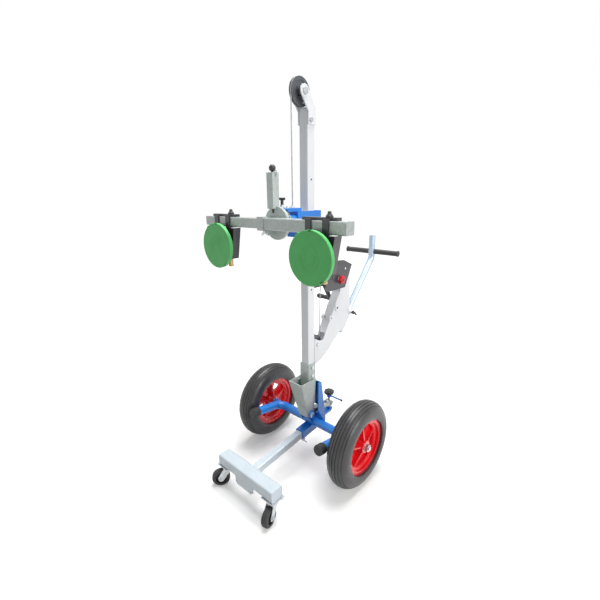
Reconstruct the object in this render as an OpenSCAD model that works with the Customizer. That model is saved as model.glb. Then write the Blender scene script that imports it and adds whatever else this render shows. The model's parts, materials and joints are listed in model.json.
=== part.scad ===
// Glass panel lifter: two-wheeled trolley, tilting mast, winch carriage and a turning crossbar with cups.
// The mast's axis is x = 0, y = 0, the floor is z = 0, and the load side is -Y.

/* [Running wheels] */
// Overall diameter of a running wheel
wheel_d = 400; // [396:1:404]
// Width of a tyre's section
tyre_w = 106; // [102:1:107]
// Distance between the middle planes of the two wheels
track = 574; // [574:2:590]
// Diameter of the axle shaft
axle_d = 20; // [18:1:22]

/* [Base frame] */
// Diameter of the bent base tube
base_tube_d = 42.4; // [40:0.1:43]
// Distance of each forward arm from the middle
arm_x = 208; // [204:1:208]
// Reach of the forward arms from the axle
arm_reach = 198; // [190:1:205]
// Rise of the forward arms in degrees
arm_rise = 10; // [8:1:12]

/* [Front foot] */
// Side of the square foot bar
foot_bar_w = 35; // [34:0.5:36]
// Length of the cross beam
beam_len = 340; // [330:2:350]
// Distance of the cross beam's rear face in front of the mast
beam_front = 359; // [355:1:365]
// Overall height of a caster
caster_h = 108; // [107:0.5:109]
// Diameter of a caster wheel
caster_d = 80; // [76:1:80]

/* [Mast] */
// Side of the square mast tube
mast_w = 45; // [44.6:0.1:45.2]
// Height of the mast tube's top edge
mast_top = 1600; // [1595:1:1605]
// Diameter of the wire rope
rope_d = 5; // [4:0.5:5]

/* [Carriage and crossbar] */
// Height of the carriage's turning axis at rest
axis_z = 1171; // [1160:1:1180]
// Distance of the crossbar's middle in front of the mast
bar_front = 212; // [212:0.5:214]
// Side of the outer crossbar tube
bar_w = 45; // [45:0.5:46]
// Right end of the outer crossbar tube
bar_right = 363; // [358:1:372]
// Left end of the inner crossbar tube
bar_left = -398; // [-404:1:-392]
// Middle of the right cup holder
holder_right = 245; // [235:1:255]
// Middle of the left cup holder
holder_left = -277; // [-285:1:-270]
// Diameter of a cup's cover
cup_d = 190; // [184:1:192]
// Height of the cups below the crossbar's middle
cup_drop = 100; // [99:1:101]

/* [Push handle] */
// Diameter of the handle tube
handle_d = 34; // [33:0.5:34]
// Half length of the handle's cross bar
grip_half = 159; // [150:1:170]

/* [Hidden] */
$fn = 64;
fit = 0.05;      // running fit, on the radius
seat = 0.2;      // gap between faces that move past each other
pressed = 0.02;  // gap between pieces that are pushed together for good

axle_y = 12;
axle_z = wheel_d / 2;
axle_r = axle_d / 2;
base_r = base_tube_d / 2;
base_wall = 3;
base_bend = 45;
boss_end = track / 2 - 45;
hub_half = 40;
hub_r = 28;
bearing_r = 17.5;
bearing_w = 11;
flange_r = wheel_d / 2 - 72;
rim_half = 38;
rim_wall = 3;
spokes = 5;

// The tilt pin and the screw drive behind it
pivot_y = -14;
pivot_z = axle_z + 50;
tilt_pin_r = 8;
lug_r = 18;
lug_x = 29.6;
lug_t = 6;
spindle_y = 170;
spindle_r = 6;
tongue_z = axle_z - 20;
tongue_t = 8;
nut_z = pivot_z - 30;
nut_trunnion_r = 7;
tilt_arm_x = 12;
tilt_arm_t = 6;
lever_z = pivot_z + 11;
lever_reach = 80;
lever_ball_r = 6;

// The foot bar runs down to the beam in a straight line from the sleeve under the axle tube
sleeve_wall = 4.8;
sleeve_w = foot_bar_w + 2 * seat + 2 * sleeve_wall;
sleeve_z = axle_z - base_r - sleeve_w / 2 + 2;
beam_z = caster_h + 25;
beam_d = 60;
beam_h = 50;
bar_end_z = beam_z - 4;
foot_slope = atan2(sleeve_z - bar_end_z, beam_front + axle_y);
foot_run = norm([beam_front + axle_y, sleeve_z - bar_end_z]);
sleeve_front = 77;
sleeve_back = 28;
caster_x = 145;
caster_y = -beam_front - beam_d / 2;
caster_plate_t = 5;
caster_trail = 36;
caster_r = caster_d / 2;
caster_wheel_w = 28;
kingpin_r = 5;
race_z = caster_h - caster_plate_t - 11;

// Mast and what is bolted to it
mast_half = mast_w / 2;
mast_wall = 2.5;
mast_foot = pivot_z + 52;
socket_w = 55;
socket_h = 211;
bracket_top = pivot_z + 188;
bracket_low = pivot_z - 15;
bracket_t = 4;
socket_bolts = [mast_foot + 152, mast_foot + 192];
head_bolt_y = -8;
bracket_half_low = 27;
bracket_half_top = 40;
bracket_lean = atan2(bracket_half_top - bracket_half_low, bracket_top - bracket_low);
rope_r = rope_d / 2;
head_pulley_r = 48.5;
head_y = 7 - head_pulley_r;
head_z = mast_top + 51;
guide_pulley_r = 39;
guide_y = 7 + guide_pulley_r;
guide_z = 595;
pulley_pin_r = 8;
cheek_t = 5;

// Winch
winch_plate_x = 45;
winch_plate_t = 5;
drum_y = 125;
drum_z = 908;
drum_rope_r = 34;
gear_module = 2;
drum_teeth = 38;
pinion_teeth = 12;
gear_gap = gear_module * (drum_teeth + pinion_teeth) / 2;
pinion_angle = -17.7;
pinion_y = drum_y + gear_gap * cos(pinion_angle);
pinion_z = drum_z + gear_gap * sin(pinion_angle);
crank_shaft_r = 7;
drum_shaft_r = 8;
crank_arm_x = -62;
crank_end_y = pinion_y + 76;
crank_end_z = pinion_z - 128;
mount_y = 219;
mount_z = 846;
mount_len = 118;
mount_angle = 62.8;
bracket_x = 18.5;

// Push handle: straight up a slope, then a bend into the upright end
handle_r = handle_d / 2;
handle_slope = 49;
handle_low_y = 240;
handle_low_z = 600;
handle_top_y = 537;
handle_top_z = 1065;
handle_bend = 56;
handle_swell = 0.15;
handle_vertex_z = handle_low_z + (handle_top_y - handle_low_y) * tan(handle_slope);
handle_tangent = handle_bend * tan((90 - handle_slope) / 2);
handle_straight = (handle_top_y - handle_low_y) / cos(handle_slope) - handle_tangent;
handle_sleeve_len = 140;
grip_z = 978;
grip_r = 13.5;

// Carriage
car_low = axis_z - 61;
car_high = axis_z + 42;
car_half = 30;
car_t = 4;
car_front = -92;
car_back = 55;
shaft_r = 20;
ring_r = 46;
ring_front = -157;
ring_back = -143;
disc_r = 64;
disc_front = -186;
disc_back = -172;
plunger_y = -150;
plunger_r = 4;
arm_plate_z = axis_z + 49;
arm_plate_t = 6;
rope_y = head_y - head_pulley_r;

// Crossbar
bar_y = -bar_front;
bar_half = bar_w / 2;
bar_wall = 2.4;
inner_half = bar_half - bar_wall - 0.1;
inner_wall = 2;
inner_right = 150;
collar_left = -53;
collar_right = -19;
collar_half = bar_half + 3.4;

// Upright lever tube on the disc
lever_x = -14;
lever_y = -184;
lever_w = 35;
lever_low = axis_z + 55;
lever_top = axis_z + 187;
latch_r = 5;

// Cup holders
strap_w = 25;
strap_t = 5;
strap_off = 37.5;
hanger_top = 25;
hanger_low = 156;
hanger_half_top = 78;
hanger_half_low = 55;
hanger_t = 4;
cup_r = cup_d / 2;
pad_r = cup_r - 3;
back_plate_r = 80;
pump_x = 23;
pump_r = 14;
plunge_r = 10;

// What places the whole part: middle of the outer sizes in X and Y
caster_left_yaw = -38;
caster_right_yaw = 15;
x_mid = (bar_right + bar_left) / 2;
front_end = caster_y - caster_trail * cos(caster_right_yaw) - caster_reach(caster_right_yaw);
rear_end = handle_top_y + handle_r + handle_swell;
y_mid = (front_end + rear_end) / 2;

function caster_reach(yaw) = caster_r * cos(yaw) + (caster_wheel_w / 2 - 5) * abs(sin(yaw));

// Helpers

// Extrudes an outline drawn in Y and Z from x0 to x1
module yz(x0, x1) {
    translate([x0, 0, 0]) rotate([90, 0, 90]) linear_extrude(x1 - x0) children();
}

// Extrudes an outline drawn in X and Z from y0 to y1
module xz(y0, y1) {
    translate([0, y1, 0]) rotate([90, 0, 0]) linear_extrude(y1 - y0) children();
}

// Round bar along X from x0 to x1
module rod_x(r, x0, x1) {
    translate([x0, 0, 0]) rotate([0, 90, 0]) cylinder(r = r, h = x1 - x0);
}

// Round bar along Y from y0 to y1
module rod_y(r, y0, y1) {
    translate([0, y0, 0]) rotate([-90, 0, 0]) cylinder(r = r, h = y1 - y0);
}

// Round bar along Z from z0 to z1
module rod_z(r, z0, z1) {
    translate([0, 0, z0]) cylinder(r = r, h = z1 - z0);
}

// Box between two corners
module block(low, high) {
    translate(low) cube(high - low);
}

// Revolves an outline drawn as radius and height about the X axis
module revolve_x() {
    rotate([0, 90, 0]) rotate_extrude() children();
}

// Revolves an outline drawn as radius and height about the Y axis
module revolve_y() {
    rotate([-90, 0, 0]) rotate_extrude() children();
}

// Outline of a straight link with round ends
module link2d(a, ra, b, rb) {
    d = norm(b - a);
    lie = atan2(b[1] - a[1], b[0] - a[0]);
    turn = acos((ra - rb) / d);
    up = [cos(lie + turn), sin(lie + turn)];
    down = [cos(lie - turn), sin(lie - turn)];
    translate(a) circle(r = ra);
    translate(b) circle(r = rb);
    in = 0.998;
    polygon([a + in * ra * up, b + in * rb * up, b + in * rb * down, a + in * ra * down]);
}

// Section of a square tube, with its rounded corners drawn in short flats
module soft_square(half, r) {
    steps = 3;
    polygon([
        for (q = [0:3], k = [0:steps])
            let (a = q * 90 + k * 90 / steps, sx = q == 0 || q == 3 ? 1 : -1, sy = q < 2 ? 1 : -1)
            [sx * (half - r) + r * cos(a), sy * (half - r) + r * sin(a)]
    ]);
}

// Hexagon head or nut along X with its flat face at x0
module hex_x(across, x0, x1) {
    translate([x0, 0, 0]) rotate([0, 90, 0]) cylinder(d = across / cos(30), h = x1 - x0, $fn = 6);
}

// Both sides of a thing that is drawn on the right
module both_sides() {
    children();
    mirror([1, 0, 0]) children();
}

// Running wheels, about the X axis with the wheel's middle plane at x = 0

// Points of an arc about (mid, 0), from one angle to another
function arc_points(mid, r, from, to, steps) =
    [for (k = [0:steps]) let (a = from + (to - from) * k / steps) [mid + r * cos(a), r * sin(a)]];

module tyre_outline() {
    mid_r = wheel_d / 2 - tyre_w / 2;
    wall = 8;
    bead_r = flange_r - 13.8;
    bead_x = rim_half - rim_wall - seat;
    cut = acos((flange_r + 0.8 - mid_r) / (tyre_w / 2));
    difference() {
        polygon(concat(
            arc_points(mid_r, tyre_w / 2, -cut, cut, 30),
            [[flange_r + 0.8, bead_x], [bead_r, bead_x], [bead_r, 22]],
            [[flange_r - 2, 24], [flange_r + 5, 35]],
            arc_points(mid_r, tyre_w / 2 - wall, 100, -100, 18),
            [[flange_r + 5, -35], [flange_r - 2, -24]],
            [[bead_r, -22], [bead_r, -bead_x], [flange_r + 0.8, -bead_x]]
        ));
        for (turn = [-44, -30, -15, 0, 15, 30, 44]) tread_groove(mid_r, turn);
    }
}

module tread_groove(mid_r, turn) {
    translate([mid_r, 0]) rotate(turn) translate([tyre_w / 2 - 3.5, -1.5]) square([8, 3]);
}

module tyre() {
    color("#2e2e30") revolve_x() tyre_outline();
}

module rim_barrel_outline() {
    seat_r = flange_r - 14;
    well_r = seat_r - 9;
    edge = rim_half;
    lip = edge - rim_wall;
    polygon([
        [flange_r, edge], [flange_r, lip], [seat_r, lip], [seat_r, 22], [well_r, 19],
        [well_r, -19], [seat_r, -22], [seat_r, -lip], [flange_r, -lip], [flange_r, -edge],
        [seat_r - 3, -edge], [seat_r - 3, -25], [well_r - 3, -22], [well_r - 3, 22],
        [seat_r - 3, 25], [seat_r - 3, edge]
    ]);
}

module rim() {
    well_in = flange_r - 25;
    color("#e1202c") difference() {
        union() {
            revolve_x() rim_barrel_outline();
            rod_x(well_in, -3, 3);
            rod_x(hub_r, -hub_half, hub_half);
            for (k = [0:spokes - 1]) rotate([k * 360 / spokes, 0, 0]) spoke_rib(well_in);
            revolve_x() for (side = [-1, 1])
                translate([well_in - 3, side * 9.5]) square([6, 19], center = true);
        }
        for (k = [0:spokes - 1]) rotate([(k + 0.5) * 360 / spokes, 0, 0]) rim_window();
        rod_x(bearing_r - 3.5, -hub_half - 1, hub_half + 1);
        for (side = [-1, 1]) translate([side * (hub_half - bearing_w / 2), 0, 0])
            rod_x(bearing_r + pressed, -bearing_w / 2 - 0.4, bearing_w / 2 + 0.4);
        rotate([36, 0, 0]) translate([9, 0, 0]) rod_z(4, flange_r - 30, flange_r - 18);
    }
}

module spoke_rib(well_in) {
    xz(-4, 4) polygon([
        [-34, hub_r - 4], [34, hub_r - 4], [19, well_in - 1], [-19, well_in - 1]
    ]);
}

module rim_window() {
    outer = flange_r - 43;
    inner = 50;
    half = 20;
    yz(-5, 5) {
        polygon([[-half, outer], [half, outer], [half * 0.62, inner], [-half * 0.62, inner]]);
        translate([0, inner]) circle(r = half * 0.62);
    }
}

module bearings() {
    color("#b9bcc0") for (side = [-1, 1]) translate([side * (hub_half - bearing_w / 2), 0, 0])
        revolve_x() difference() {
            translate([axle_r + fit, -bearing_w / 2]) square([bearing_r - axle_r - fit, bearing_w]);
            for (face = [-1, 1]) translate([(axle_r + bearing_r) / 2, face * bearing_w / 2])
                square([3.4, 1.6], center = true);
        }
}

module at_wheel(side) {
    translate([side * track / 2, axle_y, axle_z]) mirror([side < 0 ? 1 : 0, 0, 0]) children();
}

// Base frame

// Runs along the foot bar: its own Y axis lies on the bar and its origin is under the axle
module along_foot() {
    translate([0, axle_y, sleeve_z]) rotate([foot_slope, 0, 0]) children();
}

// The base tube's own flat plane, turned up by the arms' rise about the axle
module in_arm_plane() {
    translate([0, axle_y, axle_z]) rotate([-arm_rise, 0, 0]) children();
}

module base_tube(r) {
    in_arm_plane() both_sides() {
        rod_x(r, -0.01, arm_x - base_bend);
        translate([arm_x - base_bend, -base_bend, 0]) rotate_extrude(angle = 90)
            translate([base_bend, 0]) circle(r = r);
        translate([arm_x, 0, 0]) rod_y(r, -arm_reach + 8, -base_bend);
    }
}

module upright_outline() {
    top = bracket_top - 29;
    polygon([
        [20, axle_z - 20], [20, top], [42, top], [76, axle_z + 9], [76, axle_z - 20]
    ]);
}

module upright() {
    slot_half = 21;
    difference() {
        yz(-50, 50) upright_outline();
        yz(-44, 44) translate([-6, 0]) upright_outline();
        block([-40, 0, axle_z - 30], [40, 30, bracket_top]);
        block([-slot_half, 30, axle_z + 5], [slot_half, 90, axle_z + 62]);
    }
}

module tilt_lug() {
    difference() {
        yz(lug_x, lug_x + lug_t) link2d([pivot_y, pivot_z], lug_r, [axle_y, axle_z], base_r - 1);
        translate([0, pivot_y, pivot_z]) rod_x(tilt_pin_r + pressed, 0, 60);
    }
}

module tube_gusset() {
    xz(20, 26) polygon([[48, axle_z + 10], [48, axle_z + 62], [88, axle_z + 18], [88, axle_z + 10]]);
}

module foot_sleeve() {
    half = sleeve_w / 2;
    along_foot() xz(-sleeve_front, sleeve_back) soft_square(half, 6);
}

module spindle_tongue() {
    translate([0, 0, tongue_z]) linear_extrude(tongue_t)
        link2d([0, axle_y + base_r], 30, [0, spindle_y], 18);
    translate([0, spindle_y, 0]) rod_z(14, tongue_z - 8, tongue_z + tongue_t + 8);
}

module base_frame() {
    color("#1a6fdc") difference() {
        union() {
            base_tube(base_r);
            upright();
            foot_sleeve();
            both_sides() {
                tilt_lug();
                tube_gusset();
                translate([0, axle_y, axle_z]) rod_x(axle_r + 6, arm_x - 20, boss_end);
            }
            difference() {
                spindle_tongue();
                block([-40, -60, 0], [40, axle_y + 4, axle_z * 2]);
            }
            along_foot() translate([0, -sleeve_front + 24, -sleeve_w / 2]) rod_z(9, -10, 2);
        }
        base_tube(base_r - base_wall);
        translate([0, axle_y, axle_z]) rod_x(axle_r + fit, -boss_end - 1, boss_end + 1);
        along_foot() xz(-sleeve_front - 30, sleeve_back + 30) square(foot_bar_w + 2 * seat, center = true);
        translate([0, spindle_y, 0]) rod_z(spindle_r + fit, tongue_z - 30, tongue_z + 40);
        along_foot() translate([0, -sleeve_front + 24, -sleeve_w / 2]) rod_z(5 + pressed, -17, 8);
    }
}

module arm_caps() {
    color("#303032") in_arm_plane() both_sides() translate([arm_x, -arm_reach, 0]) difference() {
        revolve_y() polygon([[0, 0], [19, 0], [24, 5], [24, 36], [22.5, 40], [0, 40]]);
        rod_y(base_r + pressed, 8, 50);
        rod_y(base_r - base_wall - pressed, 8, 50);
    }
    color("#303032") in_arm_plane() both_sides() translate([arm_x, -arm_reach, 0])
        rod_y(base_r - base_wall - 0.4, 8, 22);
}

module axle_shaft() {
    end = track / 2 + hub_half + 20;
    color("#c4c7ca") translate([0, axle_y, axle_z]) rod_x(axle_r, -end, end);
}

// Inner spacer, outer washer and nut of one wheel
module axle_nut_set() {
    inner = track / 2 - hub_half;
    outer = track / 2 + hub_half;
    difference() {
        union() {
            rod_x(axle_r + 3.4, boss_end, inner - seat);
            rod_x(axle_r + 6, outer + seat, outer + 3);
            hex_x(3 * axle_r, outer + 3, outer + 15);
        }
        rod_x(axle_r + pressed, 0, outer + 40);
    }
}

module tilt_pin() {
    end = lug_x + lug_t;
    rod_x(tilt_pin_r, -end - 10, end + 1);
    hex_x(24, end, end + 9);
    hex_x(24, -end - 9, -end);
}

module foot_clamp() {
    along_foot() translate([0, -sleeve_front + 24, 0]) {
        rod_z(5, -sleeve_w / 2 - 34, -foot_bar_w / 2 - seat);
        rod_z(8, -sleeve_w / 2 - 30, -sleeve_w / 2 - 22);
        translate([0, 0, -sleeve_w / 2 - 32]) rod_x(3.5, -22, 22);
    }
}

module base_fasteners() {
    color("#c4c7ca") {
        translate([0, axle_y, axle_z]) both_sides() axle_nut_set();
        translate([0, pivot_y, pivot_z]) tilt_pin();
        foot_clamp();
    }
}

// Tilt drive

module at_spindle() {
    translate([0, spindle_y, 0]) children();
}

module tilt_spindle() {
    color("#c4c7ca") at_spindle() {
        rod_z(spindle_r, tongue_z - 22, lever_z + 26);
        difference() {
            union() {
                rod_z(11, tongue_z - 16, tongue_z - 8 - seat);
                rod_z(11, tongue_z + tongue_t + 8 + seat, tongue_z + tongue_t + 13);
            }
            rod_z(spindle_r - 1, tongue_z - 40, tongue_z + 60);
        }
    }
}

module tilt_handwheel() {
    base = lever_z + 8;
    color("#303032") at_spindle() {
        difference() {
            union() {
                rod_z(12, base, base + 20);
                translate([0, 0, base + 4]) rotate_extrude() translate([6, 0]) square([17, 14]);
                for (k = [0:7]) rotate(k * 45) translate([21.5, 0, 0]) rod_z(4.5, base + 4, base + 18);
            }
            rod_z(spindle_r + pressed, base - 1, base + 18);
        }
        difference() {
            translate([lever_reach, 0, lever_z]) sphere(r = lever_ball_r);
            translate([0, 0, lever_z]) rod_x(4 + pressed, 60, lever_reach - 2 + pressed);
        }
    }
}

module spindle_lever() {
    color("#1a6fdc") at_spindle() difference() {
        union() {
            rod_z(11, lever_z - 8, lever_z + 8);
            translate([0, 0, lever_z]) rod_x(4, 8, lever_reach - 2);
        }
        rod_z(spindle_r + pressed, lever_z - 20, lever_z + 20);
    }
}

module tilt_nut() {
    color("#c4c7ca") at_spindle() translate([0, 0, nut_z]) difference() {
        union() {
            rod_x(12, -tilt_arm_x + seat, tilt_arm_x - seat);
            rod_x(nut_trunnion_r, -tilt_arm_x - tilt_arm_t - 4, tilt_arm_x + tilt_arm_t + 4);
        }
        rod_z(spindle_r + fit, -30, 30);
    }
}

// Front foot

module cross_beam() {
    half = beam_len / 2;
    difference() {
        yz(-half, half) beam_section(0);
        yz(-half + 3, half - 3) beam_section(3);
    }
}

// Section of the beam, drawn in by the wall's thickness for its hollow
module beam_section(wall) {
    r = 6 - wall;
    rear = -beam_front - wall;
    front = rear - beam_d + 2 * wall;
    low = beam_z - beam_h / 2 + wall;
    high = beam_z + beam_h / 2 - wall;
    polygon([
        [front + r, low], [rear - r, low], [rear - r * 0.3, low + r * 0.3], [rear, low + r],
        [rear, high - r], [rear - r * 0.3, high - r * 0.3], [rear - r, high],
        [front + r, high], [front + r * 0.3, high - r * 0.3], [front, high - r],
        [front, low + r], [front + r * 0.3, low + r * 0.3]
    ]);
}

module beam_skirt() {
    front = -beam_front - beam_d;
    low = beam_z - 58;
    xz(front, front + 4) difference() {
        polygon([
            [-46, low], [46, low], [57, low + 12], [57, beam_z - 20], [-57, beam_z - 20], [-57, low + 12]
        ]);
        translate([-44, low + 16]) circle(r = 5.5);
        translate([44, low + 16]) circle(r = 5.5);
    }
}

module front_foot() {
    back_end = sleeve_back - 2;
    half = foot_bar_w / 2;
    color("#a9b3b5") union() {
        difference() {
            along_foot() xz(-foot_run - 4, back_end) difference() {
                soft_square(half, 4);
                soft_square(half - 2, 2);
            }
            block([-half - 1, -beam_front - 40, 0], [half + 1, -beam_front - 1, axle_z]);
        }
        cross_beam();
        beam_skirt();
    }
}

module caster_plates() {
    low = caster_h - caster_plate_t;
    color("#b9bcc0") both_sides() translate([caster_x, caster_y, 0]) {
        difference() {
            block([-34, -34, low], [34, 34, caster_h]);
            for (sx = [-1, 1], sy = [-1, 1])
                translate([sx * 27, sy * 22, 0]) rod_z(4, low - 1, caster_h + 1);
        }
        for (sx = [-1, 1], sy = [-1, 1]) translate([sx * 27, sy * 22, 0]) {
            rod_z(4, low - 2, caster_h);
            translate([0, 0, low - 6]) cylinder(d = 14, h = 6, $fn = 6);
        }
        translate([0, 0, race_z]) rotate_extrude()
            polygon([[0, 0], [25, 0], [27, 3], [27, 7], [20, 11], [0, 11]]);
        rod_z(kingpin_r, race_z - 11, race_z + 1);
        rod_z(9, race_z - 12, race_z - 6.5);
    }
}

module caster_fork() {
    top = race_z - seat;
    axle = caster_r;
    leg_in = caster_wheel_w / 2 + 2;
    color("#b9bcc0") difference() {
        union() {
            rod_z(25, top - 6, top);
            translate([0, -10, 0]) block([-leg_in - 3, -14, top - 6], [leg_in + 3, 18, top - 3]);
            both_sides() yz(leg_in, leg_in + 3) polygon([
                [-24, top - 3], [12, top - 3], [-caster_trail + 11, axle - 8],
                [-caster_trail + 4, axle - 12], [-caster_trail - 4, axle - 12],
                [-caster_trail - 11, axle - 6], [-caster_trail - 12, axle + 10]
            ]);
            translate([0, -caster_trail, axle]) {
                rod_x(4, -leg_in - 6, leg_in + 6);
                both_sides() hex_x(13, leg_in + 3, leg_in + 8);
            }
        }
        rod_z(kingpin_r + fit, top - 20, top + 1);
        rod_z(9.4, top - 20, top - 6);
    }
}

module caster_wheel() {
    half = caster_wheel_w / 2;
    color("#39393b") translate([0, -caster_trail, caster_r]) revolve_x() {
        translate([caster_r - 14, -half]) polygon([
            [0, 0], [10, 0], [14, 5], [14, 2 * half - 5], [10, 2 * half], [0, 2 * half]
        ]);
        translate([4 + fit, -half - 1]) square([8, 2 * half + 2]);
        translate([8, -3]) square([caster_r - 20, 6]);
    }
}

module at_caster(side) {
    translate([side * caster_x, caster_y, 0])
        rotate([0, 0, side > 0 ? caster_right_yaw : caster_left_yaw]) children();
}

// Mast

module bracket_side() {
    low = bracket_low;
    tall = bracket_top - low;
    pin_up = pivot_z - low;
    translate([bracket_half_low, 0, low]) rotate([0, bracket_lean, 0])
        yz(-bracket_t, 0) {
            polygon([
                [-92, tall], [12, tall], [12, pin_up + 20], [2, pin_up - 6],
                [-30, pin_up - 6], [-32, pin_up + 8]
            ]);
            translate([pivot_y, pin_up]) circle(r = 16);
        }
}

module bracket_front() {
    top = [-92, bracket_top];
    low = [pivot_y - 17, bracket_low];
    lean = atan2(low[0] - top[0], top[1] - low[1]);
    length = norm(top - low);
    translate([0, low[0], low[1]]) rotate([lean, 0, 0]) xz(0, bracket_t) polygon([
        [-bracket_half_low, 0], [bracket_half_low, 0],
        [bracket_half_top, length], [-bracket_half_top, length]
    ]);
}

module tilt_arm() {
    yz(tilt_arm_x, tilt_arm_x + tilt_arm_t) difference() {
        union() {
            link2d([pivot_y, pivot_z], 11, [spindle_y, nut_z], 8);
            translate([spindle_y, nut_z]) circle(r = 13);
        }
        translate([spindle_y, nut_z]) link2d([-4, 0], nut_trunnion_r + 0.4, [3, 0], nut_trunnion_r + 0.39);
    }
}

module mast_socket() {
    half = socket_w / 2;
    inner = mast_half + 0.1;
    difference() {
        translate([0, 0, mast_foot - 6]) linear_extrude(socket_h + 6) soft_square(half, 6);
        block([-inner, -inner, mast_foot], [inner, inner, mast_foot + socket_h + 1]);
    }
}

module foot_bracket() {
    color("#b4bdbd") difference() {
        union() {
            both_sides() {
                bracket_side();
                tilt_arm();
                block([socket_w / 2 - 1, -40, bracket_top - 12],
                      [bracket_half_top - 2, 12, bracket_top - 8]);
            }
            bracket_front();
            block([-bracket_half_low - 2, -52, mast_foot - 6], [bracket_half_low + 2, 12, mast_foot]);
            mast_socket();
            translate([0, pivot_y, pivot_z]) rod_x(14, -bracket_half_low, bracket_half_low);
        }
        translate([0, pivot_y, pivot_z]) rod_x(tilt_pin_r + fit, -60, 60);
        for (up = socket_bolts) translate([0, 0, up]) rod_x(5 + pressed, -60, 60);
    }
}

module mast_tube() {
    inner = mast_half - mast_wall;
    color("#eef0f2") difference() {
        translate([0, 0, mast_foot]) linear_extrude(mast_top - mast_foot) difference() {
            soft_square(mast_half, 5);
            soft_square(inner, 2.5);
        }
        block([-9, inner - 1, guide_z - 52], [9, mast_half + 1, guide_z + 52]);
        for (up = socket_bolts) translate([0, 0, up]) rod_x(5 + pressed, -60, 60);
        translate([0, head_bolt_y, mast_top - 44]) rod_x(5 + pressed, -60, 60);
    }
}

module head_cheek() {
    difference() {
        yz(mast_half + pressed, mast_half + cheek_t) union() {
            link2d([head_y, head_z], 24, [0, mast_top - 10], mast_half - 2);
            polygon([[-mast_half, mast_top - 60], [mast_half, mast_top - 60],
                     [mast_half, mast_top], [-mast_half, mast_top]]);
        }
        translate([0, head_y, head_z]) rod_x(pulley_pin_r + pressed, 0, 60);
        translate([0, head_bolt_y, mast_top - 44]) rod_x(5 + pressed, 0, 60);
    }
}

module head_bracket() {
    color("#eef0f2") both_sides() head_cheek();
}

// Grooved wheel for the rope, about the X axis, with the rope's middle on pitch_r
module rope_pulley(pitch_r, pin_r, hub_half_w) {
    floor_r = pitch_r - rope_r - 0.3;
    rim_r = pitch_r + 4;
    half = 7;
    revolve_x() polygon([
        [pin_r + fit, -hub_half_w], [pin_r + 6, -hub_half_w], [pin_r + 6, -4], [floor_r - 8, -4],
        [floor_r - 6, -half], [rim_r, -half], [rim_r, -half + 1.5], [floor_r + 1, -rope_r],
        [floor_r, -1.2], [floor_r, 1.2],
        [floor_r + 1, rope_r], [rim_r, half - 1.5], [rim_r, half], [floor_r - 6, half],
        [floor_r - 8, 4], [pin_r + 6, 4], [pin_r + 6, hub_half_w], [pin_r + fit, hub_half_w]
    ]);
}

module head_pulley() {
    color("#4a4c50") translate([0, head_y, head_z])
        rope_pulley(head_pulley_r, pulley_pin_r, mast_half - seat);
}

module guide_pulley() {
    color("#4a4c50") translate([0, guide_y, guide_z])
        rope_pulley(guide_pulley_r, 6, bracket_x - seat);
}

// Angle of the rope's run from the drum down to the guide pulley
function rope_lie() =
    let (run = [guide_y - drum_y, guide_z - drum_z])
    atan2(run[1], run[0]) + asin((drum_rope_r + guide_pulley_r) / norm(run));

module rope() {
    lie = rope_lie();
    out = [-sin(lie), cos(lie)];
    start = [drum_y, drum_z] - drum_rope_r * out;
    stop = [guide_y, guide_z] + guide_pulley_r * out;
    color("#a7a9ab") {
        rope_run(start, stop);
        rope_bend([guide_y, guide_z], guide_pulley_r, 180, 360 + lie + 90);
        rope_run([guide_y - guide_pulley_r, guide_z], [head_y + head_pulley_r, head_z]);
        rope_bend([head_y, head_z], head_pulley_r, 0, 180);
    }
}

// Straight piece of rope between two points given as Y and Z
module rope_run(a, b) {
    translate([0, a[0], a[1]]) rotate([-atan2(b[0] - a[0], b[1] - a[1]), 0, 0])
        rod_z(rope_r, 0, norm(b - a));
}

// Round piece of rope about a pulley from one angle to another
module rope_bend(centre, r, from, to) {
    translate([0, centre[0], centre[1]]) rotate([90, 0, 90]) rotate([0, 0, from])
        rotate_extrude(angle = to - from) translate([r, 0]) circle(r = rope_r);
}

module rope_front() {
    color("#a7a9ab") translate([0, rope_y, 0]) rod_z(rope_r, arm_plate_z + arm_plate_t + 14, head_z);
}

// Through bolt along X with its nut
module cross_bolt(r, half, head) {
    rod_x(r, -half - 2, half + 3);
    hex_x(head, half, half + 6);
    hex_x(head, -half - 5, -half);
}

module mast_fasteners() {
    color("#c4c7ca") {
        for (up = socket_bolts) translate([0, 0, up]) cross_bolt(5, socket_w / 2, 17);
        translate([0, head_bolt_y, mast_top - 44]) cross_bolt(5, mast_half + cheek_t, 17);
        translate([0, head_y, head_z]) cross_bolt(pulley_pin_r, mast_half + cheek_t, 24);
        translate([0, guide_y, guide_z]) cross_bolt(6, bracket_x + bracket_t, 19);
        at_mount_bolts() {
            rod_z(5, -14, 9);
            translate([0, 0, 5]) cylinder(d = 17 / cos(30), h = 6, $fn = 6);
            translate([0, 0, -13]) cylinder(d = 17 / cos(30), h = 7, $fn = 6);
        }
    }
}

// Winch bracket, winch and crank

module at_winch_mount() {
    translate([0, mount_y, mount_z]) rotate([mount_angle, 0, 0]) children();
}

module at_mount_bolts() {
    at_winch_mount() for (sx = [-1, 1], up = [22, 96]) translate([sx * 33, up, 0]) children();
}

module at_handle() {
    translate([0, handle_low_y, handle_low_z]) rotate([handle_slope - 90, 0, 0]) children();
}

module bracket_outline() {
    socket_top = mast_foot + socket_h + seat;
    clear = socket_w / 2 + seat;
    polygon([
        [mast_half + pressed, socket_top], [clear, socket_top], [clear, 501], [62, 505], [129, 540],
        [270, 648], [303, 708], [303, 800], [296, 948],
        [mount_y + mount_len * cos(mount_angle), mount_z + mount_len * sin(mount_angle)],
        [mount_y, mount_z], [217, 822], [105, 635], [88, 606], [62, 609], [mast_half + pressed, 632]
    ]);
}

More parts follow.
